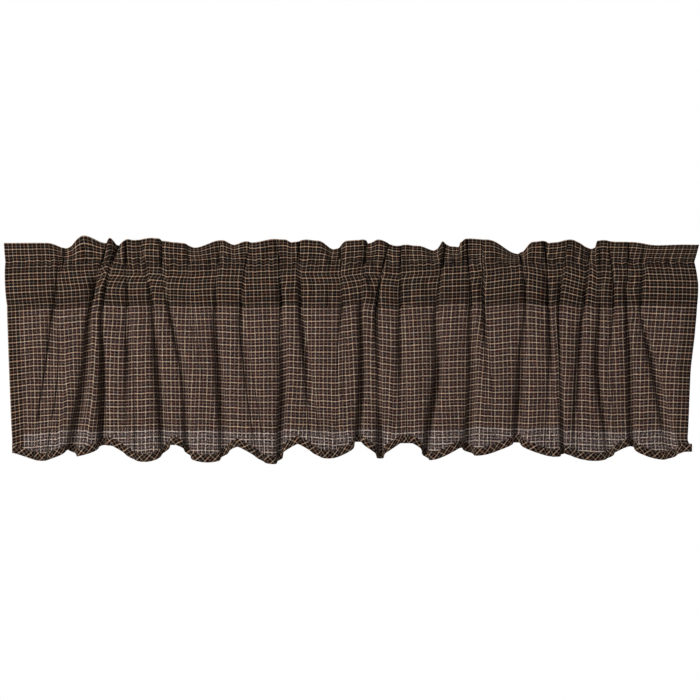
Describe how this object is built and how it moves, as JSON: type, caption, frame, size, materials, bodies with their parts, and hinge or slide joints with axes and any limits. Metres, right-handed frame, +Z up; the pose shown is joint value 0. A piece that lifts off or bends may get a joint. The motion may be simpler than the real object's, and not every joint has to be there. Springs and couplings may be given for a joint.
{
  "type": "window valance",
  "caption": "Gathered cotton valance in a small dark check, with a standing header, a rod pocket and a scalloped hem bound on the bias.",
  "frame": {"origin": "the middle of the top edge, where the valance is held up by the rod in its pocket", "axes": "+Z up, +X to the viewer's right along the rod, the patterned front faces -Y"},
  "size_m": [1.2342, 0.0551, 0.4052],
  "materials": {
    "cloth": "plain-woven cotton in a small check, matt",
    "binding": "the same check cut on the bias, matt",
    "lining": "plain cotton, matt"
  },
  "bodies": {
    "root": {"valance_cloth": "cloth", "hem_binding": "binding", "lining": "lining"}
  },
  "joints": []
}
